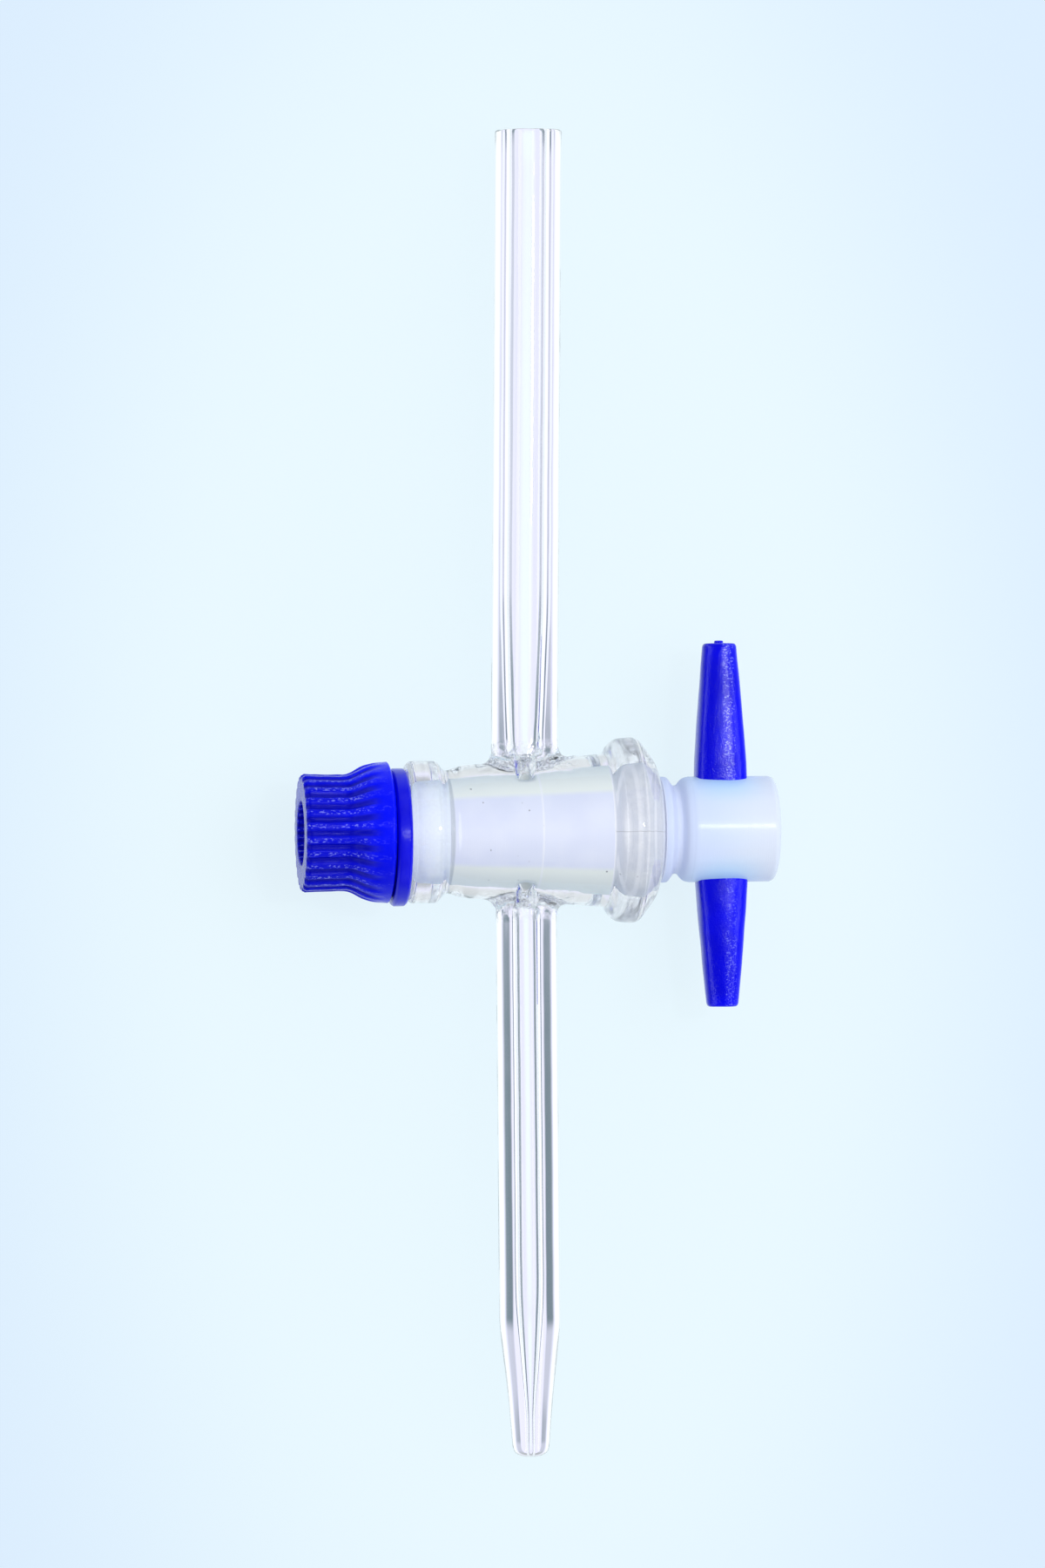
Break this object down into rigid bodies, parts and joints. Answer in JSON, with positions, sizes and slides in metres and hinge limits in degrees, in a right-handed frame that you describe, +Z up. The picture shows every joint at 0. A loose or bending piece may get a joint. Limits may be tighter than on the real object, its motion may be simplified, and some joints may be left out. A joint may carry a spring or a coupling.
{
  "type": "stopcock",
  "caption": "Straight-bore glass stopcock with a tapered plastic key, a cross-bar handle and a ribbed retaining nut, on a plain inlet tube and a drawn jet.",
  "frame": {"origin": "where the key's axis crosses the tubes' axis, in the middle of the key's cross bore", "axes": "+X along the key's axis from the nut to the handle, +Y along the tubes from the jet to the inlet's open end, +Z up from the bench the stopcock lies on"},
  "size_m": [0.0571, 0.1586, 0.0222],
  "materials": {
    "clear_glass": "clear, flame-finished",
    "white_fluoropolymer": "waxy, with fine turning marks",
    "blue_plastic": "moulded, lightly pebbled",
    "blue_washer_plastic": "moulded, smooth",
    "black_rubber": "matt"
  },
  "bodies": {
    "glass": {"glass_body": "clear_glass"},
    "key": {"key": "white_fluoropolymer", "handle": "blue_plastic", "washer": "blue_washer_plastic"},
    "seal": {"o_ring": "black_rubber"},
    "nut": {"retaining_nut": "blue_plastic"}
  },
  "joints": [
    {"name": "key_turn", "type": "hinge", "parent": "glass", "child": "key", "pos_m": [0, 0, 0], "axis": [1, 0, 0], "continuous": true},
    {"name": "nut_slide", "type": "slide", "parent": "key", "child": "seal", "axis": [-1, 0, 0], "range_m": [0, 0.0075]},
    {"name": "nut_turn", "type": "hinge", "parent": "seal", "child": "nut", "pos_m": [0, 0, 0], "axis": [-1, 0, 0], "range_deg": [0, 1801]}
  ],
  "couplings": [
    {"joint": "nut_turn", "follows": "nut_slide", "rad_per_m": 4188.8}
  ]
}
